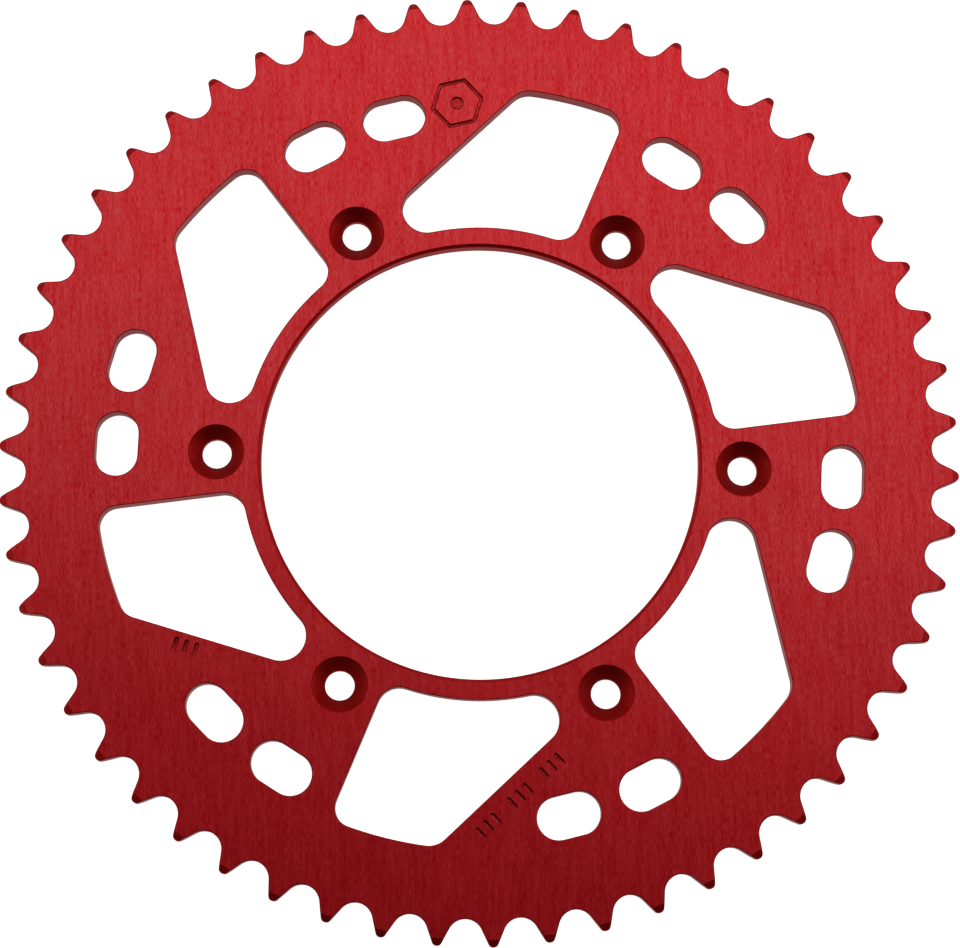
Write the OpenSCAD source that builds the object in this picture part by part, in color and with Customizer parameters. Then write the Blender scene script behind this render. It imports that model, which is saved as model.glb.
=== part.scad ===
// Rear chain sprocket for an off-road motorcycle, machined from one flat aluminium plate.
// The back face lies on z = 0 and the countersunk face looks up. The origin is the bore centre
// on the back face, and +X runs through a bolt hole and through the tooth outside it.

/* [Chain and teeth] */
// Number of teeth
teeth = 54; // [48:6:60]
// Chain pitch, pin to pin
chain_pitch = 15.875; // [15.8:0.005:15.9]
// Chain roller diameter
roller_d = 10.16; // [10:0.02:10.3]
// Lean of each tooth flank, measured from the tangent to the pitch circle
flank_angle = 63; // [63:1:66]
// Height of a tooth from its root to its tip
tooth_h = 7.96; // [7.2:0.02:8]
// Radius of the rounding at each tip corner
tip_r = 1.4; // [0.6:0.1:1.4]
// Width of the turned bevel on a tooth tip, along the radius
bevel_w = 2.2; // [0.8:0.1:2.4]
// Depth of that bevel into each face
bevel_depth = 1.4; // [0.6:0.1:2]

/* [Plate and hub] */
// Thickness of the plate
plate_t = 6; // [5.6:0.1:7]
// Diameter of the centre bore
bore_d = 127; // [120:0.5:128]
// Chamfer on both edges of the bore
bore_chamfer = 0.8; // [0.3:0.1:1.2]

/* [Bolt holes] */
// Number of bolt holes
bolts = 6; // [6:1:6]
// Diameter of the circle through the hole centres
bolt_circle_d = 153; // [150:0.5:154]
// Diameter of each hole
bolt_hole_d = 8.5; // [8:0.1:9]
// Diameter of the 90 degree countersink at the front face
countersink_d = 16; // [13:0.1:17]

/* [Windows] */
// Radius of the inner, curved side
window_inner_r = 69.4; // [69:0.1:72]
// Radius of the outer, curved side
window_outer_r = 111.8; // [106:0.1:114]
// Direction square to the long straight side, from the bolt hole
long_side_angle = 75; // [74:0.5:76]
// Distance of the long straight side from the centre
long_side_distance = 72.5; // [71:0.1:74]
// Direction of the short straight side, which points at the centre
short_side_angle = 9.1; // [8:0.1:12]
// Corner radius where the long side meets the inner side
long_inner_r = 7.2; // [5:0.1:8]
// Corner radius where the long side meets the outer side
long_outer_r = 6.6; // [4:0.1:7]
// Corner radius where the short side meets the outer side
short_outer_r = 5.6; // [4:0.1:7]
// Corner radius where the short side meets the inner side
short_inner_r = 6.4; // [4:0.1:7]

/* [Slots] */
// Distance of each slot from the centre
slot_circle_r = 105.4; // [104:0.1:107]
// Half the width of a slot, and the radius of its round ends
slot_r = 6.2; // [5:0.1:6.8]
// Distance between the centres of the two round ends
slot_span = 6.15; // [4:0.05:7]
// Direction of the middle of each pair of slots, from the bolt hole
slot_pair_angle = -7.55; // [-9:0.05:-7]
// Angle between the two slots of a pair
slot_pair_spread = 13.55; // [12:0.05:14]

/* [Engraving] */
// Depth of the engraved marks
mark_depth = 0.4; // [0.2:0.1:0.6]
// Width of an engraved line
mark_line_w = 1.3; // [0.6:0.1:1.4]
// Size of the hexagon badge across its corners
badge_d = 16; // [8:1:18]
// Height of the tally bars
tally_h = 4.2; // [2:0.1:5]
// Distance from one tally bar to the next
tally_bar_step = 3; // [2:0.1:4]
// Distance from one group of three tally bars to the next
tally_group_step = 12.4; // [11:0.1:13]

/* [Hidden] */
$fn = 96;

sector = 360 / bolts;
tooth_step = 360 / teeth;
pitch_r = chain_pitch / 2 / sin(180 / teeth);
root_r = pitch_r - roller_d / 2;
outer_r = root_r + tooth_h;
seat_r = 0.505 * roller_d;
seat_centre_r = root_r + seat_r;
bolt_circle_r = bolt_circle_d / 2;
countersink_depth = (countersink_d - bolt_hole_d) / 2;
over = 1;       // how far a cutter runs past the face that it cuts
lap = 0.005;    // how far an arc runs over the straight line that it blends into
tip_steps = 6;  // straight steps in the rounding of a tooth tip

function polar(r, a) = [r * cos(a), r * sin(a)];

// Centre of a corner arc of radius r. It touches the circle of radius arc_r, from outside or
// inside, and the line at distance d whose normal points at angle a. Side 1 or -1 picks the
// end of that line.
function corner_centre(a, d, arc_r, r, side) =
    let (along = sqrt(arc_r * arc_r - (d - r) * (d - r)))
    polar(d - r, a) + side * polar(along, a + 90);

// Distance from point p, along the unit vector u, to the circle of radius r round the origin.
function distance_to_circle(p, u, r) = -p * u + sqrt((p * u) * (p * u) - p * p + r * r);

// The room between two teeth, centred on +Y: the round roller seat, straight flanks that
// leave it at the flank angle, and a rounding from each flank into the tip circle.
module tooth_gap() {
    into_tooth = polar(1, flank_angle - 90);
    along_flank = polar(1, flank_angle);
    flank_foot = [0, seat_centre_r] + seat_r * into_tooth;
    round_start = flank_foot + tip_r * into_tooth;
    round_centre = round_start
        + distance_to_circle(round_start, along_flank, outer_r - tip_r + lap) * along_flank;
    outward = atan2(round_centre.y, round_centre.x);
    right = concat(
        [flank_foot - lap * into_tooth],
        [for (i = [0 : tip_steps])
            round_centre + polar(tip_r, flank_angle + 90
                + (outward - flank_angle - 90) * i / tip_steps)],
        [polar(outer_r + 3 * over, outward)]
    );
    left = [for (i = [len(right) - 1 : -1 : 0]) [-right[i].x, right[i].y]];
    translate([0, seat_centre_r])
        circle(r = seat_r);
    polygon(concat(right, left));
}

// Toothed blank, with a tooth centred on +X. It stands past the tips, which the turned
// blank cuts to their real diameter.
module tooth_ring() {
    difference() {
        circle(r = outer_r + over);
        for (i = [0 : teeth - 1])
            rotate((i + 0.5) * tooth_step - 90)
                tooth_gap();
    }
}

// One window: a ring sector with a slanting side, a radial side and four round corners.
module window() {
    short_normal = short_side_angle - 90;
    long_inner = corner_centre(long_side_angle, long_side_distance,
        window_inner_r + long_inner_r, long_inner_r, -1);
    long_outer = corner_centre(long_side_angle, long_side_distance,
        window_outer_r - long_outer_r, long_outer_r, -1);
    short_outer = corner_centre(short_normal, 0,
        window_outer_r - short_outer_r, short_outer_r, 1);
    short_inner = corner_centre(short_normal, 0,
        window_inner_r + short_inner_r, short_inner_r, 1);
    out = window_outer_r + 5 * over;
    in = window_inner_r - 5 * over;
    intersection() {
        difference() {
            circle(r = window_outer_r);
            circle(r = window_inner_r);
        }
        polygon([
            long_inner + polar(long_inner_r, long_side_angle),
            long_outer + polar(long_outer_r, long_side_angle),
            long_outer,
            long_outer * out / norm(long_outer),
            short_outer * out / norm(short_outer),
            short_outer,
            short_outer + polar(short_outer_r, short_normal),
            short_inner + polar(short_inner_r, short_normal),
            short_inner,
            short_inner * in / norm(short_inner),
            long_inner * in / norm(long_inner),
            long_inner
        ]);
    }
    for (corner = [
        [long_inner, long_inner_r],
        [long_outer, long_outer_r],
        [short_outer, short_outer_r],
        [short_inner, short_inner_r]
    ])
        translate(corner[0])
            circle(r = corner[1] + lap);
}

// One slot on +X, with its long axis along the rim.
module slot() {
    translate([slot_circle_r, 0]) {
        square([2 * slot_r - 2 * lap, slot_span], center = true);
        for (side = [-1, 1])
            translate([0, side * slot_span / 2])
                circle(r = slot_r);
    }
}

module plate_outline() {
    difference() {
        tooth_ring();
        for (i = [0 : bolts - 1])
            rotate(i * sector) {
                window();
                for (side = [-1, 1])
                    rotate(slot_pair_angle + side * slot_pair_spread / 2)
                        slot();
            }
    }
}

// The turned blank: the bore with its chamfers, and the bevels that run over the tooth tips.
module turned_blank() {
    bore_r = bore_d / 2;
    rotate_extrude($fn = 360)
        polygon([
            [bore_r + bore_chamfer, 0],
            [outer_r - bevel_w, 0],
            [outer_r, bevel_depth],
            [outer_r, plate_t - bevel_depth],
            [outer_r - bevel_w, plate_t],
            [bore_r + bore_chamfer, plate_t],
            [bore_r, plate_t - bore_chamfer],
            [bore_r, bore_chamfer]
        ]);
}

// A through hole with a 90 degree countersink in the front face.
module bolt_hole() {
    translate([0, 0, -over])
        cylinder(d = bolt_hole_d, h = plate_t + 2 * over);
    translate([0, 0, plate_t - countersink_depth])
        cylinder(d1 = bolt_hole_d, d2 = countersink_d + 2 * over,
            h = countersink_depth + over);
}

// Plain hexagon outline with a dot in it.
module badge() {
    difference() {
        circle(d = badge_d, $fn = 6);
        circle(d = badge_d - 2 * mark_line_w, $fn = 6);
    }
    circle(r = 1.5 * mark_line_w);
}

// One upright bar with round ends, as the engraving cutter leaves it.
module tally_bar() {
    end_r = mark_line_w / 2;
    for (x = [end_r, tally_h - end_r])
        translate([x, 0])
            circle(r = end_r);
    translate([end_r, lap - end_r])
        square([tally_h - 2 * end_r, 2 * end_r - 2 * lap]);
}

// Plain upright bars in groups of three, in a row that runs along -Y.
module tally(groups) {
    for (g = [0 : groups - 1])
        for (b = [0 : 2])
            translate([0, -g * tally_group_step - b * tally_bar_step])
                tally_bar();
}

// Places a mark beside the long side of window number i. X is the distance from that side
// and Y is the place along it, from the foot of the normal through the plate's centre.
module beside_window(i, x, y) {
    rotate(long_side_angle + i * sector)
        translate([long_side_distance + x, y])
            children();
}

module engraving() {
    beside_window(1, 10.1, -68.4)
        badge();
    beside_window(-2, 3.7, -42.6)
        tally(3);
    beside_window(-3, 1.7, -62.2)
        tally(1);
}

module sprocket_plate() {
    color("firebrick")
        difference() {
            intersection() {
                translate([0, 0, -over])
                    linear_extrude(height = plate_t + 2 * over)
                        plate_outline();
                turned_blank();
            }
            for (i = [0 : bolts - 1])
                rotate(i * sector)
                    translate([bolt_circle_r, 0, 0])
                        bolt_hole();
            translate([0, 0, plate_t - mark_depth])
                linear_extrude(height = mark_depth + over)
                    engraving();
        }
}

sprocket_plate();
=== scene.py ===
"""Rear chain sprocket of an off-road motorcycle: one aluminium plate, brushed, anodised red.

Metres, in the part's own frame: the back face on z = 0, the countersunk face up, the bore's
centre at the origin, and +X through a bolt hole and the tooth outside it.
"""
import math
import bmesh
import bpy
import numpy as np
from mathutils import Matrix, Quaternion, Vector
from mathutils.geometry import delaunay_2d_cdt


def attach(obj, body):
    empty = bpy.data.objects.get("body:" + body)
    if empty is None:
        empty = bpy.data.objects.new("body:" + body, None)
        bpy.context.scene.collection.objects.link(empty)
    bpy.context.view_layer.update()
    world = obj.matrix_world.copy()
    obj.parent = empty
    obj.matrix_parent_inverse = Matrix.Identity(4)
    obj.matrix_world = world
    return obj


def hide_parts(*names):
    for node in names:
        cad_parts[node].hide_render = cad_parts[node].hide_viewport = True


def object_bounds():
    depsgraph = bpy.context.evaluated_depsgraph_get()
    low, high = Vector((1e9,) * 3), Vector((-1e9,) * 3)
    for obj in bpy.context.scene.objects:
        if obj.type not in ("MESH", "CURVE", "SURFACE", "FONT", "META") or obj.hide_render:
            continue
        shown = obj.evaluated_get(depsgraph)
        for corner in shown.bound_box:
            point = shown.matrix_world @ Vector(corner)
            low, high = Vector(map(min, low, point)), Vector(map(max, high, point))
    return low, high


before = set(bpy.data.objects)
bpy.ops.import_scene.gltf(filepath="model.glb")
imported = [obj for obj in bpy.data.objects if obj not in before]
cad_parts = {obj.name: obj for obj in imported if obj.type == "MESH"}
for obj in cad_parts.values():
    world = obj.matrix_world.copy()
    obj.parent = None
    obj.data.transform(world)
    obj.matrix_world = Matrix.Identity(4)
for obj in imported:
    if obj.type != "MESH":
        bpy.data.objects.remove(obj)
cad_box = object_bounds()


# ---- Camera ----------------------------------------------------------------------------
# A long lens almost square above the plate, a little towards -Y, so that the walls on the
# far side of each opening just show.
camera_aim = Vector((0.0001, -0.0040, 0.0060))
camera_distance = 0.8352
camera_elevation = math.radians(80.82)
camera_azimuth = math.radians(-3.607)
camera_roll = math.radians(5.419)
to_camera = Vector((
    math.sin(camera_azimuth) * math.cos(camera_elevation),
    -math.cos(camera_azimuth) * math.cos(camera_elevation),
    math.sin(camera_elevation),
))
camera = bpy.data.objects.new("camera", bpy.data.cameras.new("camera"))
camera.data.lens = 108.18
camera.data.sensor_width = 36
camera.location = camera_aim + camera_distance * to_camera
camera.rotation_mode = "QUATERNION"
camera.rotation_quaternion = (
    (-to_camera).to_track_quat("-Z", "Y") @ Quaternion((0, 0, 1), camera_roll)
)
bpy.context.collection.objects.link(camera)
bpy.context.scene.camera = camera


# ---- Sprocket plate: outlines ----------------------------------------------------------
# The real piece is one 6 mm aluminium plate. Its bore and tooth tips are turned, and its
# teeth, windows, slots and bolt holes are milled. Every edge is then broken by a brush.
# Sizes are in millimetres. A row of an outline is x, y and the unit direction into the metal.
plate_t = 6
teeth = 54
chain_pitch = 15.875
roller_d = 10.16
flank_angle = 63
tooth_h = 7.96
tip_r = 1.4
bevel_w = 2.2
bevel_depth = 1.4
edge_break = 0.28
root_r = chain_pitch / 2 / math.sin(math.pi / teeth) - roller_d / 2
outer_r = root_r + tooth_h
bevel_start_r = outer_r - bevel_w
seat_r = 0.505 * roller_d  # one percent of room round the roller
seat_centre = np.array([0, root_r + seat_r])
bolts = 6
tip_steps = 4


def polar(r, degrees):
    """The point at distance r from the origin, in a direction given in degrees."""
    return r * np.array([math.cos(math.radians(degrees)), math.sin(math.radians(degrees))])


def direction(point):
    """The direction of a point as seen from the origin, in degrees."""
    return math.degrees(math.atan2(point[1], point[0]))


def arc(centre, r, start, end, steps, metal=1):
    """Rows along c + r (cos a, sin a), a from start to end. The metal lies outside the arc
    where metal is 1, and inside it where metal is -1."""
    a = np.radians(np.linspace(start, end, steps + 1))
    ray = np.column_stack([np.cos(a), np.sin(a)])
    return np.hstack([centre + r * ray, metal * ray])


def turned(rows, degrees):
    """Rows of an outline, or plain points, turned round the origin."""
    c, s = polar(1, degrees)
    turn = np.array([[c, s], [-s, c]])
    return (rows.reshape(-1, 2) @ turn).reshape(rows.shape)


def moved(rows, offset):
    """The same outline at another place."""
    return rows + np.array([*offset, 0, 0])


def closed(*parts):
    """Parts joined into one loop, without the points that two parts share."""
    rows = np.vstack(parts)
    gap = np.linalg.norm(rows[:, :2] - np.roll(rows[:, :2], -1, axis=0), axis=1)
    return rows[gap > 1e-4]


def inset(rows, distance):
    """The points of an outline, moved that far into the metal."""
    return rows[:, :2] + distance * rows[:, 2:]


def distance_to_circle(p, u, r):
    """The distance s at which p + s u meets the circle of radius r round the origin."""
    return -p @ u + math.sqrt((p @ u) ** 2 - p @ p + r * r)


def half_tooth():
    """From the middle of a gap on +Y up its left side to the middle of the tooth's land: a
    roller seat, a straight flank, a rounded tip corner and the land. The flank's one row lies
    where the turned bevel begins on the flank's broken edge."""
    into_tooth = polar(1, 270 - flank_angle)
    along_flank = polar(1, 180 - flank_angle)
    foot = seat_centre + seat_r * into_tooth
    start = foot + tip_r * into_tooth
    corner = start + distance_to_circle(start, along_flank, outer_r - tip_r) * along_flank
    crossing = distance_to_circle(foot + edge_break * into_tooth, along_flank, bevel_start_r)
    return [
        arc(seat_centre, seat_r, 270, 270 - flank_angle, 12),
        np.hstack([foot + crossing * along_flank, into_tooth])[None],
        arc(corner, tip_r, 90 - flank_angle, direction(corner), 6, -1),
        arc((0, 0), outer_r, direction(corner), 90 + 180 / teeth, tip_steps // 2, -1),
    ]


def one_tooth():
    """Half a tooth and its mirror image, turned so that the tooth stands on +X."""
    rise = turned(np.vstack(half_tooth()), -90 - 180 / teeth)
    return np.vstack([rise, (rise * [1, -1, 1, -1])[::-1]])


def tooth_outline():
    """All the teeth, in one loop."""
    return closed(*[turned(one_tooth(), i * 360 / teeth) for i in range(teeth)])


window_inner_r = 69.4
window_outer_r = 111.8
long_side_angle = 75
long_side_distance = 72.5
short_side_angle = 9.1
long_inner_r = 7.2
long_outer_r = 6.6
short_outer_r = 5.6
short_inner_r = 6.4


def corner_centre(angle, distance, arc_r, r, side):
    """Centre of a corner of radius r that touches a straight side and a circle. The side lies
    at that distance from the origin, and its normal points at that angle."""
    along = math.sqrt(arc_r ** 2 - (distance - r) ** 2)
    return polar(distance - r, angle) + side * polar(along, angle + 90)


def window_outline():
    """A ring sector with one slanting side, one radial side and four round corners."""
    short_normal = short_side_angle - 90
    long_inner = corner_centre(
        long_side_angle, long_side_distance, window_inner_r + long_inner_r, long_inner_r, -1)
    long_outer = corner_centre(
        long_side_angle, long_side_distance, window_outer_r - long_outer_r, long_outer_r, -1)
    short_outer = corner_centre(
        short_normal, 0, window_outer_r - short_outer_r, short_outer_r, 1)
    short_inner = corner_centre(
        short_normal, 0, window_inner_r + short_inner_r, short_inner_r, 1)
    return closed(
        arc(short_inner, short_inner_r, direction(short_inner) - 180, short_normal, 12),
        arc(short_outer, short_outer_r, short_normal, direction(short_outer), 12),
        arc((0, 0), window_outer_r, direction(short_outer), direction(long_outer), 14),
        arc(long_outer, long_outer_r, direction(long_outer), long_side_angle, 9),
        arc(long_inner, long_inner_r, long_side_angle, direction(long_inner) + 180, 16),
        arc((0, 0), window_inner_r, direction(long_inner), direction(short_inner), 20, -1),
    )


slot_circle_r = 105.4
slot_r = 6.2
slot_span = 6.15
slot_pair_angle = -7.55
slot_pair_spread = 13.55


def slot_outline():
    """Two half circles joined by straight sides, on +X, with the long axis along the rim."""
    return closed(
        arc((slot_circle_r, slot_span / 2), slot_r, 0, 180, 28),
        arc((slot_circle_r, -slot_span / 2), slot_r, 180, 360, 28),
    )


bore_r = 63.5
bore_chamfer = 0.8
bolt_circle_r = 76.5
bolt_hole_r = 4.25
countersink_depth = 3.75


def rounded_polygon(points, r, metal=1):
    """A loop through the corners of a convex polygon given anticlockwise, each rounded to
    radius r."""
    points = np.array(points, float)
    step = np.roll(points, -1, axis=0) - points
    step /= np.linalg.norm(step, axis=1)[:, None]
    back = np.roll(step, 1, axis=0)
    lean = np.cross(back, step)
    tangent = np.arctan2(lean, (back * step).sum(axis=1)) / 2
    centre = points + (r / np.cos(tangent) / np.linalg.norm(step - back, axis=1))[:, None] * (
        step - back)
    parts = []
    for c, before, turn in zip(centre, back, np.degrees(2 * tangent)):
        start = direction(before) - 90
        parts.append(arc(c, r, start, start + turn, 3, metal))
    return closed(*parts)


# The marks are plain and generic: a hexagon with a dot, and bars in groups of three. A bar's
# end radius is just under half its width, so that the end is all but round.
mark_depth = 0.4
mark_line_w = 1.3
badge_d = 16
badge_outer_corner_r = 0.7
badge_inner_corner_r = 0.3
tally_h = 4.2
tally_end_r = 0.63
tally_bar_step = 3
tally_group_step = 12.4


def beside_window(outline, window, x, y):
    """An outline placed beside the long side of a window: x from that side, y along it."""
    return turned(
        moved(outline, (long_side_distance + x, y)), long_side_angle + window * 360 / bolts)


def badge():
    """The outside and inside of a hexagon ring, and the dot in it."""
    outer, inner = badge_d / 2, badge_d / 2 - mark_line_w
    return [
        rounded_polygon([polar(outer, 60 * i) for i in range(6)], badge_outer_corner_r),
        rounded_polygon([polar(inner, 60 * i) for i in range(6)], badge_inner_corner_r, -1),
        closed(arc((0, 0), 1.5 * mark_line_w, 0, 360, 24)),
    ]


def tally(groups):
    """Upright bars in groups of three, in a row that runs along -Y."""
    low, high = -mark_line_w / 2, mark_line_w / 2
    corners = [(0, low), (tally_h, low), (tally_h, high), (0, high)]
    bar = rounded_polygon(corners, tally_end_r)
    return [
        moved(bar, (0, -g * tally_group_step - b * tally_bar_step))
        for g in range(groups)
        for b in range(3)
    ]


marks = (
    [beside_window(o, 1, 10.1, -68.4) for o in badge()]
    + [beside_window(o, -2, 3.7, -42.6) for o in tally(3)]
    + [beside_window(o, -3, 1.7, -62.2) for o in tally(1)]
)


# ---- Sprocket plate: surfaces ----------------------------------------------------------
# Each wall is a profile carried along its outline. The two faces, the tooth tips and the
# floors of the marks fill the loops that the walls end on. A mark's wall slopes in over
# mark_wall_w, and eases into the mark's floor from the height mark_toe.
BRUSHED, MILLED, TURNED, ENGRAVED = range(4)
turned_break = 0.16
mark_break = 0.07
mark_wall_w = 0.5
mark_toe = 0.07
surfaces = []


def tip_bevel(points, z):
    """Height after turning the tooth tips: each face falls evenly outside bevel_start_r."""
    r = np.linalg.norm(points, axis=-1)
    drop = np.maximum(r - bevel_start_r, 0) * bevel_depth / bevel_w
    return z - np.sign(z - plate_t / 2) * drop


def rounded_profile(corners, size):
    """A profile of (inset, height) rows. Each inner corner p becomes the curve
    (1-t)^2 a + 2 t (1-t) p + t^2 b, where a and b lie that size before and after it."""
    t = np.linspace(0, 1, 5)[:, None]
    curves = []
    for before, p, after in zip(corners[:-2], corners[1:-1], corners[2:]):
        before, p, after = np.array(before, float), np.array(p, float), np.array(after, float)
        a = p + size * (before - p) / np.linalg.norm(before - p)
        b = p + size * (after - p) / np.linalg.norm(after - p)
        curves.append((1 - t) ** 2 * a + 2 * t * (1 - t) * p + t ** 2 * b)
    return np.vstack(curves)


def carry(outline, profile, finish):
    """The grid P(k, j) = outline point j moved inset k into the metal, at height k. Its UV is
    the distance along the outline and the distance along the profile, in metres."""
    loop = np.vstack([outline, outline[:1]])
    points = loop[None, :, :2] + profile[:, None, :1] * loop[None, :, 2:]
    z = tip_bevel(points, np.broadcast_to(profile[:, 1:], points.shape[:2]))
    along = np.cumsum(np.linalg.norm(np.diff(loop[:, :2], axis=0), axis=1))
    across = np.cumsum(np.linalg.norm(np.diff(profile, axis=0), axis=1))
    uv = np.stack(np.meshgrid(np.append(0, along), np.append(0, across)), axis=-1) / 1000
    k, j = np.meshgrid(np.arange(len(profile) - 1), np.arange(len(loop) - 1), indexing="ij")
    first = (k * len(loop) + j).ravel()
    quads = np.column_stack([first, first + len(loop), first + len(loop) + 1, first + 1])
    surfaces.append((
        np.dstack([points, z]).reshape(-1, 3), quads, uv.reshape(-1, 2),
        np.full(len(quads), finish),
    ))


def inside(points, loops):
    """Which points lie inside an odd number of the loops: those from which a ray towards +X
    crosses an odd number of edges."""
    odd = np.zeros(len(points), bool)
    x, y = points.T[:, :, None]
    for loop in loops:
        ax, ay = loop.T[:, None]
        bx, by = np.roll(loop, -1, axis=0).T[:, None]
        with np.errstate(divide="ignore", invalid="ignore"):
            crossed = ((ay > y) != (by > y)) & (x < ax + (y - ay) * (bx - ax) / (by - ay))
        odd ^= crossed.sum(axis=1) % 2 == 1
    return odd


def fill(loops, z, finish):
    """The flat region inside an odd number of the loops, in triangles."""
    points = np.vstack(loops)
    start = np.cumsum([0] + [len(loop) for loop in loops])
    edges = [
        (a + i, a + (i + 1) % (b - a))
        for a, b in zip(start[:-1], start[1:])
        for i in range(b - a)
    ]
    flat, _, faces, *_ = delaunay_2d_cdt([Vector(p) for p in points], edges, [], 1, 1e-6)
    flat = np.array(flat)
    triangles = np.array(faces)
    triangles = triangles[inside(flat[triangles].mean(axis=1), loops)]
    surfaces.append((
        np.column_stack([flat, np.full(len(flat), z)]), triangles, flat / 1000,
        np.full(len(triangles), finish),
    ))


def tip_cap(z):
    """The bevelled top of one tooth. Row i is the arc at the radius of the tip outline's
    point i, from that point to its mirror image: r_i (cos(s a_i), sin(s a_i)), s -1 to 1."""
    _, flank, corner, _ = half_tooth()
    side = inset(turned(np.vstack([flank, corner]), -90 - 180 / teeth), edge_break)
    r = np.linalg.norm(side, axis=1)[:, None]
    angle = np.arctan2(side[:, 1], side[:, 0])[:, None] * np.linspace(1, -1, tip_steps + 1)
    rows = np.dstack([r * np.cos(angle), r * np.sin(angle)])
    heights = tip_bevel(rows, np.full(rows.shape[:2], float(z)))
    k, j = np.meshgrid(np.arange(len(rows) - 1), np.arange(tip_steps), indexing="ij")
    first = (k * (tip_steps + 1) + j).ravel()
    quads = np.column_stack([first, first + tip_steps + 1, first + tip_steps + 2, first + 1])
    flat = rows.reshape(-1, 2)
    for i in range(teeth):
        place = turned(flat, i * 360 / teeth)
        uv = np.column_stack([angle.ravel() + i * math.tau / teeth, np.repeat(r, tip_steps + 1)])
        surfaces.append((
            np.column_stack([place, heights.ravel()]), quads, uv * [outer_r / 1000, 0.001],
            np.full(len(quads), TURNED),
        ))


def face_rim():
    """The edge of a flat face: the tooth outline at its inset, cut off where the bevel starts."""
    seat, flank, _, _ = half_tooth()
    side = inset(turned(np.vstack([seat, flank]), -90 - 180 / teeth), edge_break)
    half_angle = math.degrees(math.atan2(-side[-1, 1], side[-1, 0]))
    crest = arc((0, 0), bevel_start_r, -half_angle, half_angle, tip_steps)[:, :2]
    tooth = np.vstack([side, crest, (side * [1, -1])[::-1]])
    return closed(*[turned(tooth, i * 360 / teeth) for i in range(teeth)])


def ring_of(outline, angles):
    """Copies of an outline round the plate."""
    return [turned(outline, a) for a in angles]


sectors = 360 / bolts * np.arange(bolts)
slot_angles = [s + slot_pair_angle + e * slot_pair_spread / 2 for s in sectors for e in (-1, 1)]
windows = ring_of(window_outline(), sectors)
slots = ring_of(slot_outline(), slot_angles)
hole = closed(arc((bolt_circle_r, 0), bolt_hole_r, 0, 360, 64))
bolt_holes = ring_of(hole, sectors)
bore = closed(arc((0, 0), bore_r, 0, 360, 360))

wall = rounded_profile([(1, plate_t), (0, plate_t), (0, 0), (1, 0)], edge_break)
for outline in windows + slots + [tooth_outline()]:
    carry(outline, wall, MILLED)

countersink = rounded_profile(
    [(countersink_depth + 1, plate_t), (countersink_depth, plate_t),
     (0, plate_t - countersink_depth), (0, 0), (1, 0)], turned_break)
for outline in bolt_holes:
    carry(outline, countersink, TURNED)

bore_wall = rounded_profile(
    [(bore_chamfer + 1, plate_t), (bore_chamfer, plate_t), (0, plate_t - bore_chamfer),
     (0, bore_chamfer), (bore_chamfer, 0), (bore_chamfer + 1, 0)], turned_break)
carry(bore, bore_wall, TURNED)

mark_floor_z = plate_t - mark_depth
mark_wall = rounded_profile(
    [(1, plate_t), (0, plate_t), (-mark_wall_w / 2, mark_floor_z + mark_toe),
     (-mark_wall_w, mark_floor_z), (-1, mark_floor_z)], mark_break)
for outline in marks:
    carry(outline, mark_wall, ENGRAVED)

front_loops = [face_rim(), inset(bore, bore_wall[0, 0])]
front_loops += [inset(o, edge_break) for o in windows + slots]
front_loops += [inset(o, countersink[0, 0]) for o in bolt_holes]
front_loops += [inset(o, mark_wall[0, 0]) for o in marks]
back_loops = [face_rim(), inset(bore, bore_wall[-1, 0])]
back_loops += [inset(o, edge_break) for o in windows + slots]
back_loops += [inset(o, countersink[-1, 0]) for o in bolt_holes]
fill(front_loops, plate_t, BRUSHED)
fill(back_loops, 0, BRUSHED)
fill([inset(o, mark_wall[-1, 0]) for o in marks], mark_floor_z, ENGRAVED)
tip_cap(plate_t)
tip_cap(0)


def joined(name, patches):
    """One closed mesh from all the patches, with shared points merged and faces outward. The
    two faces and the mark floors are shaded flat, and all else smooth between sharp edges."""
    points, faces, uvs, finishes = [], [], [], []
    offset = 0
    for vertices, polygons, uv, finish in patches:
        points.append(vertices / 1000)
        faces += (polygons + offset).tolist()
        uvs.append(uv[polygons].reshape(-1, 2))
        finishes.append(finish)
        offset += len(vertices)
    mesh = bpy.data.meshes.new(name)
    mesh.from_pydata(np.vstack(points), [], faces)
    mesh.uv_layers.new(name="surface").data.foreach_set("uv", np.vstack(uvs).ravel())
    mesh.polygons.foreach_set("material_index", np.concatenate(finishes))
    whole = bmesh.new()
    whole.from_mesh(mesh)
    bmesh.ops.remove_doubles(whole, verts=whole.verts, dist=1e-6)
    bmesh.ops.recalc_face_normals(whole, faces=whole.faces)
    whole.to_mesh(mesh)
    whole.free()
    mesh.set_sharp_from_angle(angle=math.radians(28))
    normals = np.empty(3 * len(mesh.polygons), np.float32)
    mesh.polygons.foreach_get("normal", normals)
    mesh.polygons.foreach_set("use_smooth", np.abs(normals[2::3]) < 0.9999)
    piece = bpy.data.objects.new(name, mesh)
    bpy.context.collection.objects.link(piece)
    return piece


sprocket = joined("rear_sprocket", surfaces)


# ---- Sprocket plate: finishes ----------------------------------------------------------
# Anodising grows a clear oxide on the metal and dyes it red. What the cutter or the brush
# left stays visible under it, so each finish is the dyed metal with its own tool marks; the
# milled, turned and engraved ones are painted a darker red than the brushed faces, as
# painted shade.
def linear(hex_colour):
    """An sRGB hex colour as linear RGBA."""
    srgb = np.array([int(hex_colour[i:i + 2], 16) for i in (0, 2, 4)]) / 255
    rgb = np.where(srgb <= 0.04045, srgb / 12.92, ((srgb + 0.055) / 1.055) ** 2.4)
    return (*rgb.tolist(), 1.0)


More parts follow.
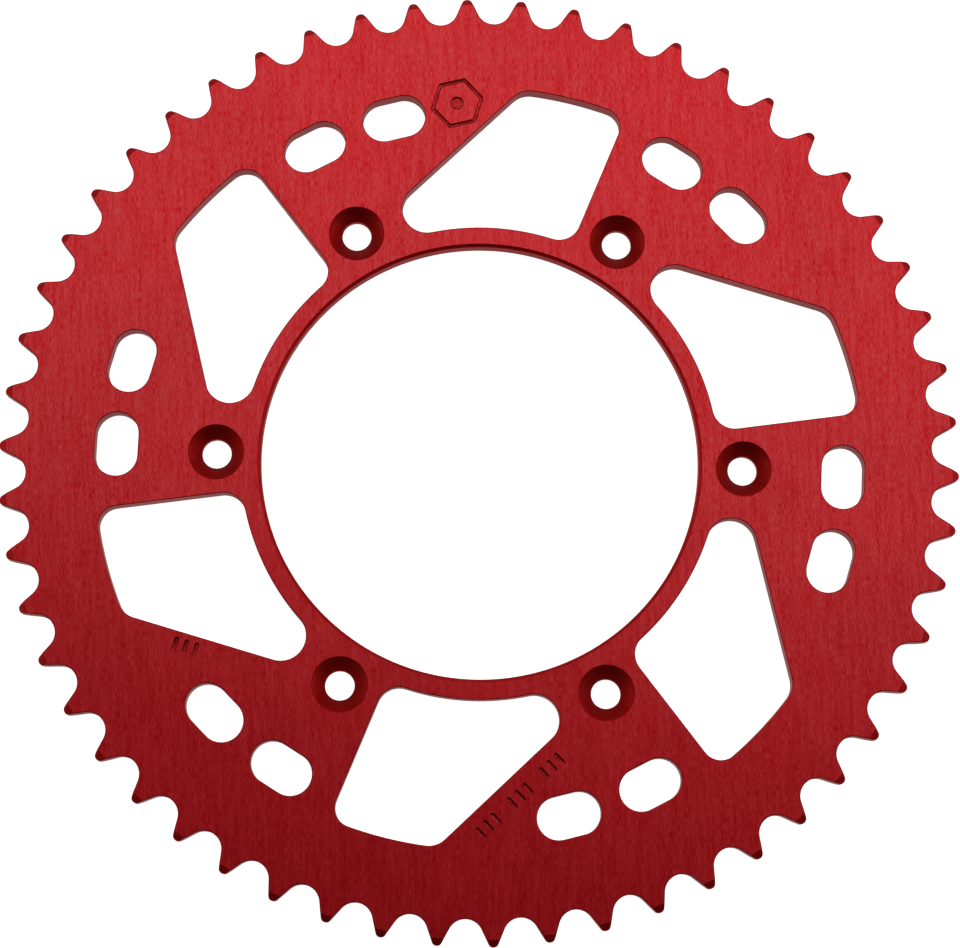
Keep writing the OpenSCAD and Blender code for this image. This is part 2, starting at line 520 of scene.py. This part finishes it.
def add(tree, kind, settings=None, **links):
    """Adds one node: settings are its properties, and links set or connect its inputs."""
    node = tree.nodes.new("ShaderNode" + kind)
    for name, value in (settings or {}).items():
        setattr(node, name, value)
    for name, value in links.items():
        wanted = name.replace("_", " ").lower()
        socket = [s for s in node.inputs if s.name.lower() == wanted and s.enabled][0]
        if isinstance(value, bpy.types.NodeSocket):
            tree.links.new(value, socket)
        else:
            socket.default_value = value
    return node


def dyed_metal(name, coordinates, marks, shades, roughness, bump_m, sheen):
    """Red anodised aluminium. Tool marks are noise stretched to the two sizes in metres and
    the turn in degrees, with broader bands of the same marks. They shift the colour, the
    roughness, the height, and how much white light the clear oxide on top gives back. The
    dye is a little uneven, in clouds about 35 mm across. The oxide's IOR is 1.76."""
    material = bpy.data.materials.new(name)
    material.use_nodes = True
    tree = material.node_tree
    tree.nodes.clear()
    size_u, size_v, turn = marks
    where = add(tree, "TexCoord").outputs[coordinates]
    laid = add(
        tree, "Mapping", {"vector_type": "TEXTURE"}, Vector=where,
        Rotation=(0, 0, math.radians(turn)), Scale=(size_u, size_v, 0.002))
    fine = add(
        tree, "TexNoise", {"noise_dimensions": "3D"}, Vector=laid.outputs[0],
        Scale=1.0, Detail=2.0, Roughness=0.6)
    broad = add(
        tree, "Mapping", {"vector_type": "TEXTURE"}, Vector=where,
        Rotation=(0, 0, math.radians(turn)), Scale=(size_u * 4, size_v * 5, 0.01))
    bands = add(
        tree, "TexNoise", {"noise_dimensions": "3D"}, Vector=broad.outputs[0],
        Scale=1.0, Detail=2.0, Roughness=0.5)
    cloud = add(
        tree, "TexNoise", Vector=add(tree, "TexCoord").outputs["Object"],
        Scale=28.0, Detail=3.0, Roughness=0.5)
    both = add(
        tree, "Mix", {"data_type": "FLOAT"}, Factor=0.3,
        A=fine.outputs["Fac"], B=bands.outputs["Fac"])
    tint = add(tree, "ValToRGB", Fac=both.outputs["Result"])
    tint.color_ramp.elements[0].position = 0.34
    tint.color_ramp.elements[0].color = linear(shades[0])
    tint.color_ramp.elements[1].position = 0.68
    tint.color_ramp.elements[1].color = linear(shades[2])
    tint.color_ramp.elements.new(0.5).color = linear(shades[1])
    dye = add(
        tree, "MapRange", Value=cloud.outputs["Fac"],
        From_Min=0.3, From_Max=0.7, To_Min=0.95, To_Max=1.05)
    colour = add(
        tree, "HueSaturation", Color=tint.outputs["Color"], Value=dye.outputs["Result"])
    gloss = add(
        tree, "MapRange", Value=both.outputs["Result"],
        From_Min=0.3, From_Max=0.7, To_Min=roughness[0], To_Max=roughness[1])
    glint = add(
        tree, "MapRange", Value=both.outputs["Result"],
        From_Min=0.35, From_Max=0.65, To_Min=sheen[0], To_Max=sheen[1])
    height = add(
        tree, "Bump", Height=both.outputs["Result"], Strength=1.0, Distance=bump_m)
    shader = add(
        tree, "BsdfPrincipled", Base_Color=colour.outputs["Color"], Metallic=1.0,
        Roughness=gloss.outputs["Result"], Normal=height.outputs["Normal"],
        Coat_Weight=glint.outputs["Result"], Coat_Roughness=0.25, Coat_IOR=1.76)
    output = add(tree, "OutputMaterial", Surface=shader.outputs["BSDF"])
    output.is_active_output = True
    return material


# Both faces are brushed with the belt along one direction before anodising: fine straight
# streaks about 0.2 mm wide and 2 mm long, with a soft, even sheen.
brushed = dyed_metal(
    "brushed_red_anodised_aluminium", "Object", (0.00022, 0.0018, 3.2),
    ("bf0a14", "d00e1a", "df1b27"), (0.34, 0.46), 20e-6, (0.0, 0.64))
# The walls of the teeth, windows and slots show the end mill's upright feed marks. Their
# red is painted darker and browner than the faces, as painted shade.
milled = dyed_metal(
    "milled_red_anodised_aluminium_painted_shade", "UV", (0.0005, 0.006, 0),
    ("9a120f", "a81814", "b8241e"), (0.35, 0.5), 5e-6, (0.0, 0.2))
# The bore, countersinks and tooth bevels are turned: fine lines that follow the cut. Their
# red is painted darker than the faces, as painted shade.
turned_metal = dyed_metal(
    "turned_red_anodised_aluminium_painted_shade", "UV", (0.006, 0.00025, 0),
    ("9c0a0a", "ad0d0c", "bd1512"), (0.45, 0.6), 3e-6, (0.0, 0.1))
# The marks are cut by a small ball-ended engraving tool, which leaves bright ripples. Their
# red is painted darker than the faces, as painted shade in the grooves.
engraved = dyed_metal(
    "engraved_red_anodised_aluminium_painted_shade", "Object", (0.0004, 0.0004, 30),
    ("8a060a", "a80a10", "d82026"), (0.25, 0.4), 12e-6, (0.0, 0.4))
for finish in (brushed, milled, turned_metal, engraved):
    sprocket.data.materials.append(finish)

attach(sprocket, "root")
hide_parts("sprocket_plate")


# ---- Floor and light -------------------------------------------------------------------
# A white lit table and backdrop, a large softbox behind and to the right, and low cards behind
# and on both sides. Table and backdrop glow less for the metal than for the eye, so that they
# don't light the bevels from below or wash out the shading.
floor_mesh = bpy.data.meshes.new("floor")
floor_reach = 3.0
floor_gap = 2e-5
corners = np.array([(-1, -1), (1, -1), (1, 1), (-1, 1)]) * floor_reach
floor_z = cad_box[0].z - floor_gap
floor_mesh.from_pydata(np.column_stack([corners, np.full(4, floor_z)]), [], [(0, 1, 2, 3)])
floor = bpy.data.objects.new("floor", floor_mesh)
bpy.context.collection.objects.link(floor)
table = bpy.data.materials.new("white_lit_table")
table.use_nodes = True
table.node_tree.nodes.clear()


def glow(tree, for_metal):
    """A strength of 1 for what the camera sees directly, and less for all other light."""
    ray = add(tree, "LightPath")
    strength = add(
        tree, "MapRange", Value=ray.outputs["Is Camera Ray"], To_Min=for_metal, To_Max=1.0)
    return strength.outputs["Result"]


surface = add(
    table.node_tree, "BsdfPrincipled", Base_Color=linear("f2f2f2"), Roughness=0.9,
    Emission_Color=(1, 1, 1, 1), Emission_Strength=glow(table.node_tree, 0.35))
add(table.node_tree, "OutputMaterial", Surface=surface.outputs["BSDF"])
floor_mesh.materials.append(table)


def panel(name, location, turn, size, energy):
    """A soft rectangular lamp of that size in metres, turned by those angles in degrees."""
    lamp = bpy.data.objects.new(name, bpy.data.lights.new(name, "AREA"))
    lamp.data.shape = "RECTANGLE"
    lamp.data.size, lamp.data.size_y = size
    lamp.data.energy = energy
    lamp.location = location
    lamp.rotation_euler = [math.radians(a) for a in turn]
    bpy.context.collection.objects.link(lamp)


panel("softbox", (0.37, 1.02, 1.7), (0, 0, -7), (3.4, 1.8), 20.3)
panel("back_card", (0, 2.4, 0.6), (-90, 0, 0), (4.0, 1.2), 9)
for hand, side in (("left", -1), ("right", 1)):
    panel(f"{hand}_card", (2.2 * side, 0.45, 0.6), (0, 90 * side, 0), (1.2, 2.5), 9)
    panel(f"{hand}_front_card", (2.2 * side, -1.9, 0.5), (0, 90 * side, 0), (1.0, 1.9), 2)

backdrop = bpy.data.worlds.new("white_backdrop")
backdrop.use_nodes = True
backdrop.node_tree.nodes.clear()
paper = add(
    backdrop.node_tree, "Background", Color=(1, 1, 1, 1),
    Strength=glow(backdrop.node_tree, 0.05))
add(backdrop.node_tree, "OutputWorld", Surface=paper.outputs["Background"])
bpy.context.scene.world = backdrop
bpy.context.scene.view_settings.view_transform = "Standard"
